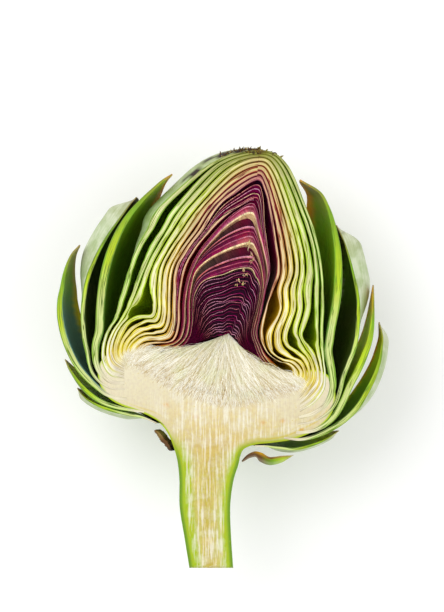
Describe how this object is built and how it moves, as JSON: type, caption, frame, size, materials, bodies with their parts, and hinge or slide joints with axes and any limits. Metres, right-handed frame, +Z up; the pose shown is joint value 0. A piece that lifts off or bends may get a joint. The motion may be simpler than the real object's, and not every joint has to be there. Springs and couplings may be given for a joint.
{
  "type": "artichoke",
  "caption": "Half of a globe artichoke cut lengthwise, lying on its rounded back with the cut face up: layered leaves, purple inner leaves, choke, heart and stem.",
  "frame": {"origin": "Centre of the support: a point on the small flat rest spot under the rounded back, at the level of the surface it lies on.", "axes": "+Z is up, the outward normal of the cut face. +Y runs from the stem's cut end towards the tip of the head. +X points to the right when the cut face is seen from above with the tip away from the viewer."},
  "size_m": [0.1145, 0.1421, 0.0498],
  "materials": {
    "outer_green": "waxy, finely ribbed",
    "leaf_green": "moist cut edge, satin",
    "leaf_cream": "moist cut edge, satin",
    "leaf_purple": "smooth, satin",
    "heart": "moist fibrous flesh",
    "choke": "dry fine hairs, matt",
    "dry_scale": "withered, matt"
  },
  "bodies": {
    "root": {"leaf_left_1": "leaf_green", "leaf_left_2": "leaf_green", "leaf_left_3": "leaf_green", "leaf_left_4": "leaf_cream", "leaf_left_5": "leaf_cream", "leaf_left_6": "leaf_cream", "leaf_left_7": "leaf_cream", "leaf_left_8": "leaf_cream", "leaf_left_9": "leaf_cream", "leaf_right_1": "leaf_green", "leaf_right_2": "leaf_green", "leaf_right_3": "leaf_cream", "leaf_right_4": "leaf_cream", "leaf_right_5": "leaf_cream", "leaf_right_6": "leaf_cream", "leaf_right_7": "leaf_cream", "leaf_right_8": "leaf_cream", "inner_leaf_1": "leaf_purple", "inner_leaf_2": "leaf_purple", "inner_leaf_3": "leaf_purple", "inner_leaf_4": "leaf_purple", "inner_leaf_5": "leaf_purple", "inner_leaf_6": "leaf_purple", "inner_leaf_7": "leaf_purple", "inner_leaf_8": "leaf_purple", "inner_leaf_9": "leaf_purple", "inner_leaf_10": "leaf_purple", "outer_leaf_left_1": "outer_green", "outer_leaf_left_2": "outer_green", "outer_leaf_left_3": "outer_green", "outer_leaf_left_4": "outer_green", "outer_leaf_left_5": "outer_green", "outer_leaf_right_1": "outer_green", "outer_leaf_right_2": "outer_green", "outer_leaf_right_3": "outer_green", "outer_leaf_right_4": "outer_green", "outer_leaf_right_5": "outer_green", "back_leaf_1": "outer_green", "back_leaf_2": "outer_green", "back_leaf_3": "outer_green", "back_leaf_4": "outer_green", "back_leaf_5": "outer_green", "back_leaf_6": "outer_green", "back_leaf_7": "outer_green", "back_leaf_8": "outer_green", "back_leaf_9": "outer_green", "heart_and_stem": "heart", "choke": "choke", "stem_scale_left": "dry_scale", "stem_scale_right": "dry_scale"}
  },
  "joints": []
}
